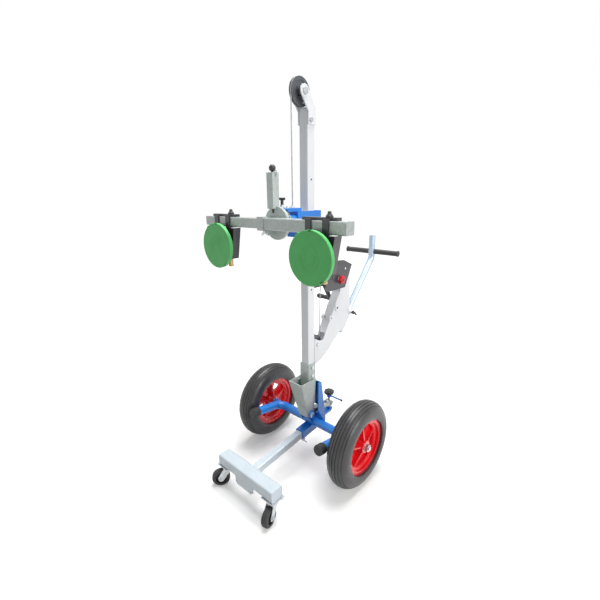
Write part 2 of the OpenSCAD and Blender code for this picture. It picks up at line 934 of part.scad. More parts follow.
module winch_bracket() {
    sleeve_r = handle_r + 4;
    color("#f0eeee") difference() {
        union() {
            both_sides() yz(bracket_x, bracket_x + bracket_t) bracket_outline();
            both_sides() for (boss = [[193, 742, 17], [145, 700, 14]])
                translate([bracket_x, boss[0], boss[1]]) rod_x(boss[2], 0, bracket_t + 4);
            translate([0, 105, 635]) rotate([atan2(187, 112), 0, 0])
                block([-bracket_x - 1, 0, -4], [bracket_x + 1, 218, 0]);
            at_winch_mount() block([-44, 0, -6], [44, mount_len, 0]);
            at_handle() rod_z(sleeve_r, 4, handle_sleeve_len);
            at_handle() translate([0, 0, handle_sleeve_len - 22]) rod_x(8, 0, sleeve_r + 10);
            yz(-bracket_x - 1, bracket_x + 1) polygon([
                [socket_w / 2 + seat, 501], [62, 505], [62, 509], [socket_w / 2 + seat, 505]
            ]);
        }
        at_handle() rod_z(handle_r + fit, -40, handle_sleeve_len + 80);
        translate([0, guide_y, guide_z]) rod_x(6 + pressed, -60, 60);
        both_sides() for (boss = [[193, 742, 7], [145, 700, 5]])
            translate([0, boss[0], boss[1]]) rod_x(boss[2], 10, 60);
        at_mount_bolts() rod_z(5 + pressed, -8, 2);
        at_handle() translate([0, 0, handle_sleeve_len - 22]) rod_x(4 + pressed, handle_r, 60);
    }
}

module winch_side() {
    difference() {
        polygon([
            [62, 868], [127, 986], [205, 980],
            [mount_y + mount_len * cos(mount_angle), mount_z + mount_len * sin(mount_angle)],
            [mount_y, mount_z], [100, 848], [76, 852]
        ]);
        translate([drum_y, drum_z]) circle(r = drum_shaft_r + fit);
    }
}

module winch_frame() {
    out = winch_plate_x + winch_plate_t;
    color("#343436") difference() {
        union() {
            both_sides() yz(winch_plate_x, out) winch_side();
            at_winch_mount() block([-winch_plate_x - 1, 0, 0], [winch_plate_x + 1, mount_len, 5]);
            translate([0, 132, 974]) rod_x(6, -winch_plate_x - 1, winch_plate_x + 1);
            translate([-out, drum_y, drum_z]) rotate([0, -90, 0]) rotate_extrude()
                polygon([[46, 0], [57, 0], [57, 6], [54, 8], [46, 8]]);
            translate([0, 205, 942]) rod_x(4, winch_plate_x - 12, winch_plate_x + 1);
        }
        translate([0, pinion_y, pinion_z]) rod_x(crank_shaft_r + fit, -out - 20, out + 20);
        at_mount_bolts() rod_z(5 + pressed, -2, 8);
    }
}

// Point of an involute flank at radius r, turned by the tooth's half thickness
function flank(base, pitch, half_turn, r, side) =
    let (
        roll = acos(base / r),
        pitch_roll = acos(base / pitch),
        spread = (tan(roll) - tan(pitch_roll)) * 180 / PI - (roll - pitch_roll)
    )
    let (a = side * (half_turn - spread)) [r * cos(a), r * sin(a)];

// Spur gear outline with involute flanks
module spur_gear(teeth, turn) {
    pitch = gear_module * teeth / 2;
    base = pitch * cos(25);
    tip = pitch + gear_module * 0.95;
    root = pitch - gear_module * 1.2;
    low = max(base + 0.02, root);
    half_turn = 90 / teeth - 0.09 / pitch * 180 / PI;
    steps = 3;
    radii = [for (k = [0:steps]) low + (tip - low) * k / steps];
    rotate(turn) {
        circle(r = root);
        for (k = [0:teeth - 1]) rotate(k * 360 / teeth) polygon(concat(
            [[root - 1, -root * sin(half_turn)]],
            [for (r = radii) flank(base, pitch, half_turn, r, -1)],
            [for (k2 = [steps:-1:0]) flank(base, pitch, half_turn, radii[k2], 1)],
            [[root - 1, root * sin(half_turn)]]
        ));
    }
}

module winch_drum() {
    core = drum_rope_r - rope_r - 0.3;
    wound_over = 0.5;
    color("#5a5c60") translate([0, drum_y, drum_z]) {
        rod_x(drum_shaft_r, -winch_plate_x - 7, winch_plate_x + 7);
        rod_x(core, -30, 32);
        rod_x(drum_rope_r + wound_over, -29, -4.5);
        rod_x(41, -30, -28);
        rod_x(41, 29, 32);
        yz(-41, -32) spur_gear(drum_teeth, pinion_angle);
        rod_x(20, -43, 43);
    }
}

module ratchet_outline() {
    teeth = 12;
    for (k = [0:teeth - 1]) rotate(k * 360 / teeth)
        polygon([[0, 0], [14, 0], [18, 1], [14 * cos(30), 14 * sin(30)]]);
}

module winch_crank() {
    color("#343436") {
        translate([0, pinion_y, pinion_z]) {
            rod_x(crank_shaft_r, crank_arm_x - 4, 74);
            yz(-41, -32) spur_gear(pinion_teeth, pinion_angle + 180 + 180 / pinion_teeth);
            yz(34, 40) ratchet_outline();
        }
        yz(crank_arm_x - 3, crank_arm_x + 3)
            link2d([pinion_y, pinion_z], 15, [crank_end_y, crank_end_z], 11);
        translate([0, crank_end_y, crank_end_z]) {
            rod_x(5, crank_arm_x - 78, crank_arm_x);
            rod_x(9, crank_arm_x - 81, crank_arm_x - 77);
        }
    }
}

module crank_grip() {
    color("#303032") translate([crank_arm_x - 76.8, crank_end_y, crank_end_z]) revolve_x() polygon([
        [5 + fit, 0], [11, 0], [12.5, 3], [12.5, 14], [11, 40],
        [12, 66], [13, 70], [12, 73.4], [5 + fit, 73.4]
    ]);
}

module winch_pawl() {
    color("#5a5c60") difference() {
        yz(34, 40) union() {
            translate([205, 942]) circle(r = 8);
            polygon([[198, 945], [183.5, 910], [185.6, 906.2], [190, 908], [212, 938]]);
        }
        translate([0, 205, 942]) rod_x(4 + fit, 30, 60);
    }
}

module winch_knob() {
    color("#dd2230") translate([0, pinion_y, pinion_z]) difference() {
        union() {
            rod_x(14, 50.5, 57);
            yz(56, 70) {
                circle(r = 17);
                for (k = [0:5]) rotate(k * 60) translate([15.5, 0]) circle(r = 4.5);
            }
            rod_x(12, 69, 73);
        }
        rod_x(crank_shaft_r + pressed, 40, 76);
    }
}

// Push handle

// The tube's ring, a little thicker where it is drawn through the bend
module tube_section(swell) {
    difference() {
        circle(r = handle_r + swell);
        circle(r = handle_r - 2.5 - swell);
    }
}

module handle_tube() {
    bar_r = 11;
    lap = 2;
    upright_z = handle_vertex_z + handle_tangent;
    color("#b5c6d8") {
        at_handle() linear_extrude(handle_straight + lap) tube_section(0);
        translate([0, handle_top_y - handle_bend, upright_z])
            rotate([90, 0, 90]) rotate([0, 0, handle_slope - 90])
            rotate_extrude(angle = 90 - handle_slope) translate([handle_bend, 0]) tube_section(handle_swell);
        translate([0, handle_top_y, upright_z - lap])
            linear_extrude(handle_top_z - upright_z + lap) tube_section(0);
        translate([0, handle_top_y, 0]) rod_z(handle_r - 1, handle_top_z - 4, handle_top_z - 0.5);
        translate([0, handle_top_y, grip_z]) rod_x(bar_r, -grip_half + 4, grip_half - 4);
    }
}

module handle_grips() {
    length = grip_half - handle_r - 0.5;
    color("#303032") both_sides() translate([handle_r + 0.5, handle_top_y, grip_z]) difference() {
        revolve_x() polygon([
            [0, 0], [grip_r, 0], [grip_r, length - 10], [grip_r + 2, length - 7],
            [grip_r + 2, length - 2], [grip_r - 1, length], [0, length]
        ]);
        rod_x(11 + pressed, -1, length - 3.9);
    }
}

module handle_clamp() {
    reach = handle_r + 14;
    color("#303032") at_handle() translate([0, 0, handle_sleeve_len - 22]) {
        rod_x(4, handle_r + fit, reach + 14);
        rod_x(8, reach + 0.1, reach + 12);
        translate([reach + 15, 0, 0]) rod_y(5, -20, 20);
        rod_x(6, reach + 10, reach + 18);
    }
}

// Carriage

module carriage_body() {
    web_front = -52;
    tube_front = ring_back + 0.3;
    color("#1a6fdc") difference() {
        union() {
            both_sides() block([car_half - car_t, car_front, car_low], [car_half, car_back, car_high]);
            block([-car_half + 1, car_back - car_t, car_low], [car_half - 1, car_back, car_high]);
            block([-car_half + 1, web_front, car_low], [car_half - 1, web_front + car_t, car_high]);
            block([-car_half + 1, car_front, car_low], [car_half - 1, car_front + 6, car_high]);
            block([-car_half + 1, car_front, car_high - 4], [car_half - 1, web_front, car_high]);
            translate([0, 0, axis_z]) rod_y(32, tube_front, web_front + 1);
            block([-18, ring_front - 8, arm_plate_z], [18, -56, arm_plate_z + arm_plate_t]);
            both_sides() block([14, ring_back + 5, car_high - 1], [18, -56, arm_plate_z + 1]);
        }
        translate([0, 0, axis_z]) rod_y(shaft_r + fit, tube_front - 1, web_front + car_t + 1);
        translate([0, plunger_y, 0]) rod_z(6 + pressed, arm_plate_z - 1, arm_plate_z + 20);
        translate([0, rope_y, 0]) rod_z(5 + pressed, arm_plate_z - 1, arm_plate_z + 20);
    }
}

module slide_pads() {
    inner = mast_half + seat;
    side = car_half - car_t - pressed;
    front = -48 + pressed;
    color("#e6e4da") for (z0 = [car_low + 3, car_high - 18]) {
        block([-mast_half, front, z0], [mast_half, -inner, z0 + 16]);
        block([-mast_half, inner, z0], [mast_half, car_back - car_t - pressed, z0 + 16]);
        both_sides() block([inner, -16, z0], [side, 16, z0 + 16]);
    }
}

module carriage_fittings() {
    top = arm_plate_z + arm_plate_t;
    color("#c4c7ca") {
        translate([0, plunger_y, 0]) difference() {
            union() {
                rod_z(6, arm_plate_z - 2, top + 1);
                translate([0, 0, top]) cylinder(d = 19, h = 6, $fn = 6);
                rod_z(7.5, top + 5, top + 14);
            }
            rod_z(plunger_r + fit, 0, top + 40);
        }
        translate([0, rope_y, 0]) {
            rod_z(5, arm_plate_z - 6, top + 2);
            translate([0, 0, top]) cylinder(d = 17, h = 7, $fn = 6);
            rod_z(4.5, top + 6, top + 14);
        }
        translate([0, -118, top]) cylinder(d = 19, h = 7, $fn = 6);
    }
}

module index_plunger() {
    top = arm_plate_z + arm_plate_t;
    color("#303032") translate([0, plunger_y, 0]) {
        rod_z(plunger_r, axis_z + ring_r + 0.3, top + 32);
        rod_z(6, top + 14.2, top + 32);
        translate([0, 0, top + 36]) rod_x(5, -14, 14);
    }
}

// Rotator

module rotator_disc() {
    pin_holes = 24;
    color("#aab4b6") translate([0, 0, axis_z]) difference() {
        union() {
            rod_y(shaft_r, disc_back - 1, -46);
            rod_y(ring_r, ring_front, ring_back);
            revolve_y() polygon([
                [0, disc_front], [disc_r - 2, disc_front], [disc_r, disc_front + 2],
                [disc_r, disc_back - 2], [disc_r - 2, disc_back], [0, disc_back]
            ]);
            block([collar_right + 1, bar_y + bar_half + pressed, -20], [40, disc_front + 1, 20]);
            rod_y(shaft_r + 2, -47.7, -44);
        }
        for (k = [0:pin_holes - 1]) rotate([0, k * 360 / pin_holes, 0]) translate([0, plunger_y, 0])
            rod_z(plunger_r + 0.2, ring_r - 8, ring_r + 1);
        block([lever_x - latch_r - 0.8, disc_front - 1, 38],
              [lever_x + latch_r + 0.8, lever_y + latch_r + 0.8, 80]);
    }
}

module lever_tube() {
    half = lever_w / 2;
    color("#98a2a6") difference() {
        translate([lever_x, lever_y, 0]) union() {
            difference() {
                translate([0, 0, lever_low]) linear_extrude(lever_top - lever_low) soft_square(half, 4);
                translate([0, 0, lever_low - 1]) linear_extrude(lever_top - lever_low - 2)
                    soft_square(half - 2, 2);
            }
            lever_clip(half);
        }
        translate([0, 0, axis_z]) rod_y(disc_r + pressed, disc_front - pressed, disc_back + pressed);
        translate([lever_x, lever_y, 0]) rod_z(latch_r + fit, lever_top - 10, lever_top + 10);
    }
}

// Bent wire that springs over the tube's edge
module lever_clip(half) {
    wire_r = 1.6;
    near = 13;
    translate([near, 0, lever_top - 1]) rod_z(wire_r, 0, 8);
    translate([near, 0, lever_top + 7]) sphere(r = wire_r);
    translate([0, 0, lever_top + 7]) rod_x(wire_r, near, half + 4);
    translate([half + 4, 0, lever_top + 7]) sphere(r = wire_r);
    translate([half + 4, 0, 0]) rod_z(wire_r, lever_top - 16, lever_top + 7);
}

module latch() {
    color("#303032") translate([lever_x, lever_y, 0]) {
        rod_z(latch_r, axis_z + 44, lever_top + 10);
        translate([0, 0, lever_top + 16]) sphere(r = 13);
    }
}

// Crossbar

module square_ring(outer, inner) {
    difference() {
        square(2 * outer, center = true);
        square(2 * inner, center = true);
    }
}

module at_bar(x0) {
    translate([x0, bar_y, axis_z]) rotate([90, 0, 90]) children();
}

module bar_outer() {
    color("#9aa8a8") difference() {
        union() {
            at_bar(collar_right - 1) linear_extrude(bar_right - collar_right - 1) difference() {
                soft_square(bar_half, 4);
                soft_square(bar_half - bar_wall, 1.6);
            }
            at_bar(bar_right - 2) linear_extrude(2) soft_square(bar_half, 4);
            at_bar(collar_left) linear_extrude(collar_right - collar_left)
                square_ring(collar_half, inner_half + 0.1);
        }
        translate([-36, bar_y, axis_z]) rod_z(5 + fit, -collar_half - 1, 0);
    }
}

module bar_inner() {
    color("#a4b0b0") {
        at_bar(bar_left + 2) linear_extrude(inner_right - bar_left - 2) difference() {
            soft_square(inner_half, 4);
            soft_square(inner_half - inner_wall, 2);
        }
        at_bar(bar_left) linear_extrude(2) soft_square(inner_half, 4);
    }
}

module wing_screw() {
    color("#b9bcc0") translate([-36, bar_y, axis_z]) {
        rod_z(5, -collar_half - 14, -inner_half - 0.1);
        rod_z(8, -collar_half - 14, -collar_half - 3);
        both_sides() xz(-2, 2) link2d([6, -collar_half - 10], 4, [15, -collar_half - 17], 5);
    }
}

// Cup holders: side is 1 on the outer tube and -1 on the inner tube

function tube_half(side) = side > 0 ? bar_half : inner_half;

function holder_x(side) = side > 0 ? holder_right : holder_left;

module at_holder(side) {
    translate([holder_x(side), bar_y, axis_z]) children();
}

module hanger_outline(trim) {
    polygon([
        [-hanger_half_top + trim, -hanger_top], [hanger_half_top - trim, -hanger_top],
        [hanger_half_low - trim, -hanger_low], [-hanger_half_low + trim, -hanger_low]
    ]);
}

module holder(side) {
    inner = tube_half(side) + seat;
    outer = inner + strap_t;
    color("#343436") at_holder(side) difference() {
        union() {
            for (k = [-1, 1]) translate([k * strap_off - strap_w / 2, 0, 0]) rotate([90, 0, 90])
                linear_extrude(strap_w) square_ring(outer, inner);
            block([-75, -13, inner], [75, 13, inner + 10]);
            xz(-outer, 12) hanger_outline(0);
        }
        block([-100, -inner, -inner], [100, inner, inner]);
        xz(-outer + hanger_t, 40) hanger_outline(hanger_t);
        translate([strap_off - 3, 0, 0]) rod_z(4 + fit, 0, 60);
        translate([pump_x, 0, -cup_drop]) rod_y(8 + pressed, -60, 0);
        translate([pump_x, 0, 0]) rod_z(plunge_r + 4.6, -hanger_low - 5, -hanger_low + 20);
    }
}

module clamp_knob(side) {
    low = tube_half(side) + seat + 10;
    color("#303032") at_holder(side) translate([strap_off - 3, 0, 0]) {
        rod_z(4, tube_half(side) + 0.1, low + 2);
        translate([0, 0, low + seat]) rotate_extrude() polygon([
            [0, 0], [13, 0], [13, 4], [6.5, 13], [6.5, 18], [5, 20], [0, 20]
        ]);
    }
}

module at_cup(side) {
    translate([holder_x(side), bar_y - tube_half(side) - seat - strap_t, axis_z - cup_drop]) children();
}

module pump_body(side) {
    depth = 14;
    color("#3a3a3c") at_cup(side) difference() {
        union() {
            revolve_y() polygon([
                [0, -17], [back_plate_r, -17], [back_plate_r, -13], [34, -10], [30, 0], [0, 0]
            ]);
            translate([pump_x, 0, 0]) rod_y(8, -1, hanger_t + 4);
            translate([pump_x, hanger_t + depth + 0.4, 0]) rod_z(pump_r, cup_drop - hanger_low + 4, 14);
        }
        translate([pump_x, hanger_t + depth + 0.4, 0]) rod_z(plunge_r + fit, cup_drop - hanger_low - 10, 6);
    }
}

module pump_plunger(side) {
    color("#c9a24a") at_cup(side) translate([pump_x, hanger_t + 14.4, 0]) {
        rod_z(plunge_r, cup_drop - hanger_low - 35, -24);
        rod_z(plunge_r + 1, cup_drop - hanger_low - 37, cup_drop - hanger_low - 31);
    }
}

module cup_pad(side) {
    color("#2e2e30") at_cup(side) revolve_y() polygon([
        [0, -17 - pressed], [back_plate_r + 2, -17 - pressed], [pad_r - 4, -22],
        [pad_r, -30], [pad_r, -33], [0, -33]
    ]);
}

module cup_cover(side) {
    back = -33 - pressed;
    face = back - 4;
    color("#3e9a4e") at_cup(side) difference() {
        union() {
            revolve_y() polygon([
                [0, back], [cup_r - 2.6, back], [cup_r - 2.6, back + 11], [cup_r, back + 11],
                [cup_r, face + 1.5], [cup_r - 1.5, face], [cup_r - 4, face], [cup_r - 5, face + 0.8],
                [0, face + 0.8]
            ]);
            for (ring = [22, 40]) revolve_y() translate([ring, face]) square([2, 1]);
            rotate([0, 52, 0]) translate([-cup_r - 4, 0, 0]) block([0, back, -7], [6, back + 11, 7]);
        }
        for (turn = [-90, 55]) rotate([0, turn, 0]) translate([cup_r, 0, 0])
            block([-6, face - 1, -7], [6, back + 5, 7]);
    }
}

// The whole part, with its origin on the floor under the middle of its outer sizes
module placed() {
    translate([-x_mid, -y_mid, 0]) children();
}

placed() base_frame();
placed() axle_shaft();
placed() base_fasteners();
placed() arm_caps();
placed() at_wheel(1) rim();  // rim_r
placed() at_wheel(1) tyre();  // tyre_r
placed() at_wheel(1) bearings();  // bearings_r
placed() at_wheel(-1) rim();  // rim_l
placed() at_wheel(-1) tyre();  // tyre_l
placed() at_wheel(-1) bearings();  // bearings_l
placed() tilt_spindle();
placed() tilt_handwheel();
placed() spindle_lever();
placed() tilt_nut();
placed() front_foot();
placed() caster_plates();
placed() at_caster(1) caster_fork();  // caster_fork_r
placed() at_caster(1) caster_wheel();  // caster_wheel_r
placed() at_caster(-1) caster_fork();  // caster_fork_l
placed() at_caster(-1) caster_wheel();  // caster_wheel_l
placed() foot_bracket();
placed() mast_tube();
placed() head_bracket();
placed() mast_fasteners();
placed() rope();
placed() rope_front();
placed() head_pulley();
placed() guide_pulley();
placed() winch_bracket();
placed() winch_frame();
placed() winch_drum();
placed() winch_crank();
placed() crank_grip();
placed() winch_pawl();
placed() winch_knob();
placed() handle_tube();
placed() handle_grips();
placed() handle_clamp();
placed() carriage_body();
placed() slide_pads();
placed() carriage_fittings();
placed() index_plunger();
placed() rotator_disc();
placed() lever_tube();
placed() latch();
placed() bar_outer();
placed() bar_inner();
placed() wing_screw();
placed() holder(1);  // holder_r
placed() clamp_knob(1);  // clamp_knob_r
placed() cup_pad(1);  // cup_pad_r
placed() cup_cover(1);  // cup_cover_r
placed() pump_body(1);  // pump_body_r
placed() pump_plunger(1);  // pump_plunger_r
placed() holder(-1);  // holder_l
placed() clamp_knob(-1);  // clamp_knob_l
placed() cup_pad(-1);  // cup_pad_l
placed() cup_cover(-1);  // cup_cover_l
placed() pump_body(-1);  // pump_body_l
placed() pump_plunger(-1);  // pump_plunger_l
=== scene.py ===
"""Looks of the glass panel lifter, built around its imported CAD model. Units are metres."""
import json
import math
from itertools import accumulate

import bmesh
import bpy
import numpy as np
from mathutils import Matrix, Vector


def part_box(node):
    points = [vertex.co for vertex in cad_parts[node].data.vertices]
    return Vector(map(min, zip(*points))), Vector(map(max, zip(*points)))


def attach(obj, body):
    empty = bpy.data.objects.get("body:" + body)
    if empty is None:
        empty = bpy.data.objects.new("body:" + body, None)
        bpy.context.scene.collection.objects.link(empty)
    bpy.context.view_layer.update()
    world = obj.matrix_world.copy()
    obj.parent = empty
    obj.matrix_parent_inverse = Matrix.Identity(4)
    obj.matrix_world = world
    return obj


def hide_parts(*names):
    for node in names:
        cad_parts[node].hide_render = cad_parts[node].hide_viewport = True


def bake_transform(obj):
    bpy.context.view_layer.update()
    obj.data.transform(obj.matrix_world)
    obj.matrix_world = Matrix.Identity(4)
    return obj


with open("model.json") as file:
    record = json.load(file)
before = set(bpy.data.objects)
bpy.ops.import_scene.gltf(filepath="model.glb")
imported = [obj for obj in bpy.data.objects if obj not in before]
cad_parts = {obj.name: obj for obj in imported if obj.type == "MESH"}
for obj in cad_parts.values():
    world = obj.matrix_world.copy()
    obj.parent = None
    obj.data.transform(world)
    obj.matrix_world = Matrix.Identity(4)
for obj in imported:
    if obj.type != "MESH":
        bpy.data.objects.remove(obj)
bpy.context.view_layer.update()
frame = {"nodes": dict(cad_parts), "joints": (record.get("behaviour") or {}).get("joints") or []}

JOINTS = {joint["name"]: joint for joint in frame["joints"]}
mast_low, mast_high = (Vector(corner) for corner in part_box("mast_tube"))
MAST = (mast_low + mast_high) / 2
MAST.z = 0
MAST_FACE = mast_high.x
RIGHT = Vector((1, 0, 0))

# Camera, measured from the mast's foot
CAMERA_PLACE = Vector((1.02303, -1.18825, 1.27543))
CAMERA_YAW = math.radians(41.985)
CAMERA_PITCH = math.radians(-16.170)
CAMERA_ROLL = math.radians(-0.585)
CAMERA_LENS = 21.71
CAMERA_REACH = 60

# Edges that the materials round or rub
EDGE_WIDTH = 0.0016
BEVEL_SAMPLES = 6

# Rope and its pulleys. A strand's radius is given as a share of the rope's.
ROPE_RADIUS = 0.0025
PULLEY_RIM = 0.004
DRUM_STEPS = 60
GUIDE_STEPS = 40
HEAD_STEPS = 60
STRANDS = 6
STRAND_LAY = 0.032
STRAND_SHARE = 0.36
STRAND_SWELL = 1.12
STRAND_SIDES = 6
STRAND_STEP = 0.004

# Winding on the drum: the live run lies WRAP degrees round it, and the other turns lie beside that
DRUM_ROPE_RADIUS = 0.034
WRAP = 200
TURNS = 4
TURN_STEP = 0.00505
FIRST_STEP = 0.0052
WINDING_STEPS = 48
WINDING_SIDES = 10

# Thread of the tilt screw, which runs past the nut at both ends
THREAD_PITCH = 0.004
THREAD_ROOT = 0.0056
THREAD_RISE = 0.0005
THREAD_DEPTH = 0.0009
THREAD_FLANK = 0.36
THREAD_PAST_NUT = 0.006
THREAD_STEPS = 28

# Domed heads
DOME_SEGMENTS = 12
DOME_RINGS = 8

# Rivet heads on the rims
RIVETS = 24
RIVET_RING = 0.1175
RIVET_RADIUS = 0.0032
RIVET_SUNK = 0.0022

# Screws in the mast's right face
MAST_SCREWS = (0.872, 1.336)
SCREW_RADIUS = 0.0042
SCREW_RISE = 0.06

# Bolt heads on the winch's right plate: name, radius, place behind and above the mast's foot
WINCH_BOLTS = (("winch_bolt_top", 0.0055, 0.2177, 0.9375), ("winch_bolt_front", 0.004, 0.1129, 0.9352))
BUSH_INNER = 0.0138
BUSH_OUTER = 0.0146
BUSH_LENGTH = 0.0054
BUSH_SIDES = 40

# Floor and light: lamps with place, target, size, power and colour
WORLD_LIGHT = 0.25
FLOOR_SIZE = 14
FLOOR_BOUNCE = "b4b3b0"
FLOOR_GLOW_NEAR = 0.22
FLOOR_GLOW_FAR = 0.75
FLOOR_FADE = (0.7, 2.2)
LAMPS = (
    ("key", (4.6, 0.2, 2.4), (0, 0, 0.8), 2.4, 128, (1.0, 0.99, 0.97)),
    ("fill", (-2.6, -2.8, 2.6), (0, 0, 0.8), 2.6, 12, (1, 1, 1)),
    ("top", (0, 0.5, 4.2), (0, 0, 0.5), 2.5, 178, (1, 1, 1)),
)


def add_camera():
    yaw, pitch, roll = CAMERA_YAW, CAMERA_PITCH, CAMERA_ROLL
    forward = Vector((-math.sin(yaw) * math.cos(pitch), math.cos(yaw) * math.cos(pitch), math.sin(pitch)))
    right = Vector((math.cos(yaw), math.sin(yaw), 0))
    up = right.cross(forward)
    side = right * math.cos(roll) + up * math.sin(roll)
    top = up * math.cos(roll) - right * math.sin(roll)
    turn = Matrix((side, top, -forward)).transposed()
    data = bpy.data.cameras.new("camera")
    data.lens = CAMERA_LENS
    data.clip_end = CAMERA_REACH
    camera = bpy.data.objects.new("camera", data)
    camera.matrix_world = Matrix.Translation(MAST + CAMERA_PLACE) @ turn.to_4x4()
    bpy.context.scene.collection.objects.link(camera)
    bpy.context.scene.camera = camera


# Materials

def linear(code):
    """Linear colour of a web colour such as 1a6fdc."""
    parts = [int(code[k:k + 2], 16) / 255 for k in (0, 2, 4)]
    return tuple(c / 12.92 if c <= 0.04045 else ((c + 0.055) / 1.055) ** 2.4 for c in parts) + (1.0,)


class Shade:
    """A material under construction: node() adds a node and joins its inputs to values or other sockets."""

    def __init__(self, name):
        self.material = bpy.data.materials.new(name)
        self.material.use_nodes = True
        self.tree = self.material.node_tree
        self.shader = self.tree.nodes["Principled BSDF"]
        self.place = self.node("ShaderNodeTexCoord").outputs["Object"]

    def node(self, kind, settings=None, **inputs):
        made = self.tree.nodes.new(kind)
        for key, value in (settings or {}).items():
            setattr(made, key, value)
        for key, value in inputs.items():
            self.join(made.inputs[key.replace("_", " ")], value)
        return made

    def join(self, socket, value):
        if isinstance(value, bpy.types.NodeSocket):
            self.tree.links.new(value, socket)
        else:
            socket.default_value = value

    def math(self, kind, operation, result, *values):
        """Result of a math node whose inputs all have the same name."""
        made = self.node(kind, {"operation": operation})
        for socket, value in zip(made.inputs, values):
            self.join(socket, value)
        return made.outputs[result]

    def noise(self, scale, detail=3.0, rough=0.55):
        made = self.node("ShaderNodeTexNoise", Vector=self.place, Scale=scale, Detail=detail, Roughness=rough)
        return made.outputs["Fac"]

    def cells(self, scale):
        return self.node("ShaderNodeTexVoronoi", Vector=self.place, Scale=scale).outputs["Color"]

    def spread(self, value, low, high, start=0.3, end=0.7):
        """Value from start to end, spread over low to high."""
        made = self.node("ShaderNodeMapRange", Value=value)
        for key, number in (("From Min", start), ("From Max", end), ("To Min", low), ("To Max", high)):
            made.inputs[key].default_value = number
        return made.outputs["Result"]

    def blend(self, share, first, second):
        """Mix of two colours. The node's inputs 6 and 7 and its output 2 are the colour ones."""
        made = self.node("ShaderNodeMix", {"data_type": "RGBA"})
        self.join(made.inputs["Factor"], share)
        self.join(made.inputs[6], first)
        self.join(made.inputs[7], second)
        return made.outputs[2]

    def rounded(self, radius):
        """Normal of the surface as if its edges had a radius."""
        return self.node("ShaderNodeBevel", {"samples": BEVEL_SAMPLES}, Radius=radius).outputs["Normal"]

    def edges(self, radius):
        """How far the surface turns within a radius: near 1 along an edge, 0 on a flat."""
        soft = self.rounded(radius)
        hard = self.node("ShaderNodeNewGeometry").outputs["Normal"]
        turned = self.math("ShaderNodeVectorMath", "DOT_PRODUCT", "Value", soft, hard)
        return self.spread(turned, 1.0, 0.0, 0.82, 0.98)

    def bump(self, height, strength, distance, rounding=0.0):
        made = self.node("ShaderNodeBump", Height=height, Strength=strength, Distance=distance)
        if rounding:
            self.join(made.inputs["Normal"], self.rounded(rounding))
        self.join(self.shader.inputs["Normal"], made.outputs["Normal"])

    def finish(self, **inputs):
        for key, value in inputs.items():
            self.join(self.shader.inputs[key.replace("_", " ")], value)
        return self.material


def powder_coat(name, colour, dark, worn, gloss=0.32, wear=0.35, rounding=0.0012):
    """Baked paint: faint orange peel, slight shade changes and rubbed edges."""
    s = Shade(name)
    body = s.blend(s.spread(s.noise(7), 0.0, 1.0), linear(colour), linear(dark))
    patchy = s.spread(s.noise(55, 5), 0.0, wear, 0.45, 0.7)
    rub = s.math("ShaderNodeMath", "MULTIPLY", "Value", s.edges(EDGE_WIDTH), patchy)
    body = s.blend(rub, body, linear(worn))
    s.bump(s.noise(650, 2), 0.12, 0.0004, rounding)
    return s.finish(
        Base_Color=body, Roughness=s.spread(s.noise(30, 4), gloss - 0.05, gloss + 0.1),
        Coat_Weight=0.35, Coat_Roughness=0.18,
    )


def zinc_coat(name, colour, dark, rough=0.42, metal=0.55, spangle=160, rounding=0.0015):
    """Galvanised or plated steel: crystal flakes and dull patches."""
    s = Shade(name)
    flake = s.node("ShaderNodeSeparateColor", Color=s.cells(spangle)).outputs[0]
    cloud = s.spread(s.noise(11, 5), 0.0, 0.75)
    body = s.blend(cloud, linear(colour), linear(dark))
    body = s.blend(s.spread(flake, 0.0, 0.28, 0.0, 1.0), body, linear("dfe4e4"))
    s.bump(s.noise(420, 3), 0.08, 0.0004, rounding)
    return s.finish(
        Base_Color=body, Metallic=metal, Roughness=s.spread(flake, rough - 0.06, rough + 0.08, 0.0, 1.0),
    )


def turned_metal(name, colour, dark, rough=0.26, metal=0.9, rounding=0.0006):
    """Bright plated or turned metal with fine tool marks and a little tarnish."""
    s = Shade(name)
    body = s.blend(s.spread(s.noise(60, 5), 0.0, 0.8), linear(colour), linear(dark))
    s.bump(s.noise(1500, 2), 0.06, 0.0003, rounding)
    return s.finish(
        Base_Color=body, Metallic=metal, Roughness=s.spread(s.noise(90, 4), rough - 0.05, rough + 0.12),
    )


def moulded(name, colour, dark, rough=0.5, grain=1400):
    """Moulded plastic: fine grain and faint flow clouds."""
    s = Shade(name)
    body = s.blend(s.spread(s.noise(16, 4), 0.0, 1.0), linear(colour), linear(dark))
    s.bump(s.noise(grain, 2), 0.2, 0.0002, 0.0008)
    return s.finish(Base_Color=body, Roughness=s.spread(s.noise(45, 4), rough - 0.07, rough + 0.09))


def rubber(name, colour, dust, rough=0.62, dusty=0.35):
    """Rubber with a bloom of dust in patches."""
    s = Shade(name)
    body = s.blend(s.spread(s.noise(24, 6, 0.65), 0.0, dusty, 0.42, 0.75), linear(colour), linear(dust))
    s.bump(s.noise(800, 3), 0.22, 0.0004, 0.001)
    return s.finish(Base_Color=body, Roughness=s.spread(s.noise(70, 4), rough - 0.1, rough + 0.1))


def background_rays(tree):
    """1 for the rays that show the background: the camera's own, mirrored and transmitted ones."""
    path = tree.nodes.new("ShaderNodeLightPath")
    share = path.outputs["Is Camera Ray"]
    for kind in ("Is Glossy Ray", "Is Transmission Ray"):
        either = tree.nodes.new("ShaderNodeMath")
        either.operation = "MAXIMUM"
        tree.links.new(share, either.inputs[0])
        tree.links.new(path.outputs[kind], either.inputs[1])
        share = either.outputs["Value"]
    return share


